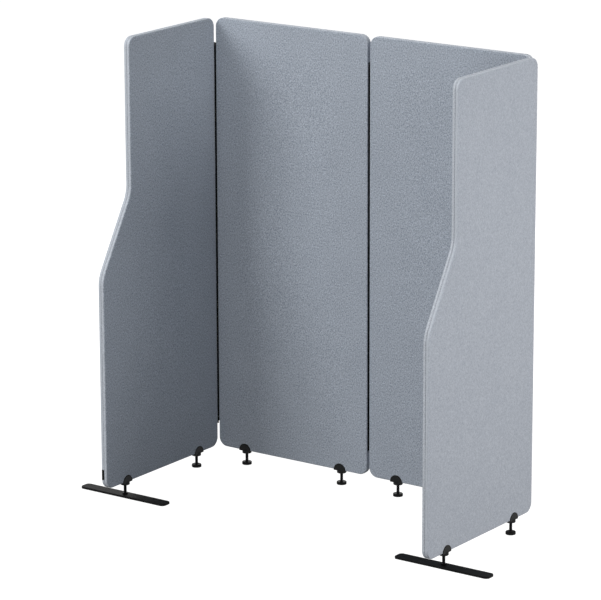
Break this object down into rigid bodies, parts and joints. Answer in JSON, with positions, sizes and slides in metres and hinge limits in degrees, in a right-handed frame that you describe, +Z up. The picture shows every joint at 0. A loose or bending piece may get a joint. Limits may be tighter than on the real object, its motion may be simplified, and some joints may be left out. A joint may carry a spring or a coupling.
{
  "type": "acoustic screen booth",
  "caption": "Free-standing three-sided acoustic booth of upholstered panels joined by edge zips, with stepped side panels, levelling glides and flat front foot bars.",
  "frame": {"origin": "on the floor, at the centre of the booth's bounding box", "axes": "+X along the back panels to the right as seen from the open front, +Y from the open front to the back, +Z up"},
  "size_m": [1.8414, 0.7354, 1.758],
  "materials": {
    "cover_felt": "fine melange wool felt over thin wadding",
    "fibre": "pressed polyester fibre",
    "frame_board": "routed fibreboard, raw",
    "black_bracket": "moulded black polyamide, fine grain",
    "black_glide": "moulded black plastic",
    "zinc_fastener": "zinc plated",
    "black_steel": "black powder coat",
    "black_stud": "black oxide",
    "zip_tape": "woven black polyester tape",
    "zip_chain": "black nylon coil",
    "zip_slider": "black enamel on die-cast zinc",
    "black_tab": "woven black ribbon"
  },
  "bodies": {
    "back_left_panel": {"back_left_frame": "frame_board", "back_left_fibre_core": "fibre", "back_left_inner_cover": "cover_felt", "back_left_outer_cover": "cover_felt", "back_left_foot_brackets": "black_bracket", "back_left_bracket_screws": "zinc_fastener", "back_left_foot_nuts": "zinc_fastener", "left_corner_zip_back_tape": "zip_tape", "left_corner_zip_chain": "zip_chain", "middle_zip_left_tape": "zip_tape", "middle_zip_chain": "zip_chain"},
    "left_side_panel": {"left_side_frame": "frame_board", "left_side_fibre_core": "fibre", "left_side_inner_cover": "cover_felt", "left_side_outer_cover": "cover_felt", "left_side_foot_brackets": "black_bracket", "left_side_bracket_screws": "zinc_fastener", "left_side_foot_nuts": "zinc_fastener", "left_corner_zip_side_tape": "zip_tape", "left_side_edge_tab": "black_tab"},
    "back_right_panel": {"back_right_frame": "frame_board", "back_right_fibre_core": "fibre", "back_right_inner_cover": "cover_felt", "back_right_outer_cover": "cover_felt", "back_right_foot_brackets": "black_bracket", "back_right_bracket_screws": "zinc_fastener", "back_right_foot_nuts": "zinc_fastener", "middle_zip_right_tape": "zip_tape", "right_corner_zip_back_tape": "zip_tape", "right_corner_zip_chain": "zip_chain"},
    "right_side_panel": {"right_side_frame": "frame_board", "right_side_fibre_core": "fibre", "right_side_inner_cover": "cover_felt", "right_side_outer_cover": "cover_felt", "right_side_foot_brackets": "black_bracket", "right_side_bracket_screws": "zinc_fastener", "right_side_foot_nuts": "zinc_fastener", "right_corner_zip_side_tape": "zip_tape"},
    "back_left_corner_foot": {"back_left_corner_stud": "black_stud", "back_left_corner_glide": "black_glide"},
    "back_left_middle_foot": {"back_left_middle_stud": "black_stud", "back_left_middle_glide": "black_glide"},
    "left_side_rear_foot": {"left_side_rear_stud": "black_stud", "left_side_rear_glide": "black_glide"},
    "back_right_corner_foot": {"back_right_corner_stud": "black_stud", "back_right_corner_glide": "black_glide"},
    "back_right_middle_foot": {"back_right_middle_stud": "black_stud", "back_right_middle_glide": "black_glide"},
    "right_side_rear_foot": {"right_side_rear_stud": "black_stud", "right_side_rear_glide": "black_glide"},
    "left_side_front_foot": {"left_side_front_bolt": "black_stud", "left_side_front_lock_nut": "black_stud"},
    "left_side_front_foot_bar": {"left_side_front_bar": "black_steel"},
    "right_side_front_foot": {"right_side_front_bolt": "black_stud", "right_side_front_lock_nut": "black_stud"},
    "right_side_front_foot_bar": {"right_side_front_bar": "black_steel"},
    "left_corner_slider": {"left_corner_zip_slider": "zip_slider"},
    "middle_slider": {"middle_zip_slider": "zip_slider"},
    "right_corner_slider": {"right_corner_zip_slider": "zip_slider"}
  },
  "joints": [
    {"name": "left_corner_fold", "type": "hinge", "parent": "back_left_panel", "child": "left_side_panel", "pos_m": [-0.71285, 0.34085, 0.9], "axis": [0, 0, -1], "range_deg": [-25, 120], "deforming": ["left_corner_zip_side_tape"]},
    {"name": "middle_fold", "type": "hinge", "parent": "back_left_panel", "child": "back_right_panel", "pos_m": [0, 0.3487, 0.9], "axis": [0, 0, 1], "range_deg": [-50, 50], "deforming": ["middle_zip_right_tape"]},
    {"name": "right_corner_fold", "type": "hinge", "parent": "back_right_panel", "child": "right_side_panel", "pos_m": [0.71285, 0.34085, 0.9], "axis": [0, 0, 1], "range_deg": [-25, 120], "deforming": ["right_corner_zip_side_tape"]},
    {"name": "back_left_corner_levelling", "type": "slide", "parent": "back_left_panel", "child": "back_left_corner_foot", "axis": [0, 0, -1], "range_m": [-0.015, 0.015]},
    {"name": "back_left_middle_levelling", "type": "slide", "parent": "back_left_panel", "child": "back_left_middle_foot", "axis": [0, 0, -1], "range_m": [-0.015, 0.015]},
    {"name": "left_side_rear_levelling", "type": "slide", "parent": "left_side_panel", "child": "left_side_rear_foot", "axis": [0, 0, -1], "range_m": [-0.015, 0.015]},
    {"name": "back_right_corner_levelling", "type": "slide", "parent": "back_right_panel", "child": "back_right_corner_foot", "axis": [0, 0, -1], "range_m": [-0.015, 0.015]},
    {"name": "back_right_middle_levelling", "type": "slide", "parent": "back_right_panel", "child": "back_right_middle_foot", "axis": [0, 0, -1], "range_m": [-0.015, 0.015]},
    {"name": "right_side_rear_levelling", "type": "slide", "parent": "right_side_panel", "child": "right_side_rear_foot", "axis": [0, 0, -1], "range_m": [-0.015, 0.015]},
    {"name": "left_side_front_levelling", "type": "slide", "parent": "left_side_panel", "child": "left_side_front_foot", "axis": [0, 0, -1], "range_m": [-0.015, 0.015]},
    {"name": "left_front_bar_swivel", "type": "hinge", "parent": "left_side_front_foot", "child": "left_side_front_foot_bar", "pos_m": [-0.7207, -0.242, 0.004], "axis": [0, 0, 1], "range_deg": [-90, 90]},
    {"name": "right_side_front_levelling", "type": "slide", "parent": "right_side_panel", "child": "right_side_front_foot", "axis": [0, 0, -1], "range_m": [-0.015, 0.015]},
    {"name": "right_front_bar_swivel", "type": "hinge", "parent": "right_side_front_foot", "child": "right_side_front_foot_bar", "pos_m": [0.7207, -0.242, 0.004], "axis": [0, 0, 1], "range_deg": [-90, 90]},
    {"name": "left_corner_zip_run", "type": "slide", "parent": "back_left_panel", "child": "left_corner_slider", "axis": [0, 0, -1], "range_m": [0, 1.48], "deforming": ["left_corner_zip_chain"]},
    {"name": "middle_zip_run", "type": "slide", "parent": "back_left_panel", "child": "middle_slider", "axis": [0, 0, -1], "range_m": [0, 1.48], "deforming": ["middle_zip_chain"]},
    {"name": "right_corner_zip_run", "type": "slide", "parent": "back_right_panel", "child": "right_corner_slider", "axis": [0, 0, -1], "range_m": [0, 1.48], "deforming": ["right_corner_zip_chain"]}
  ]
}
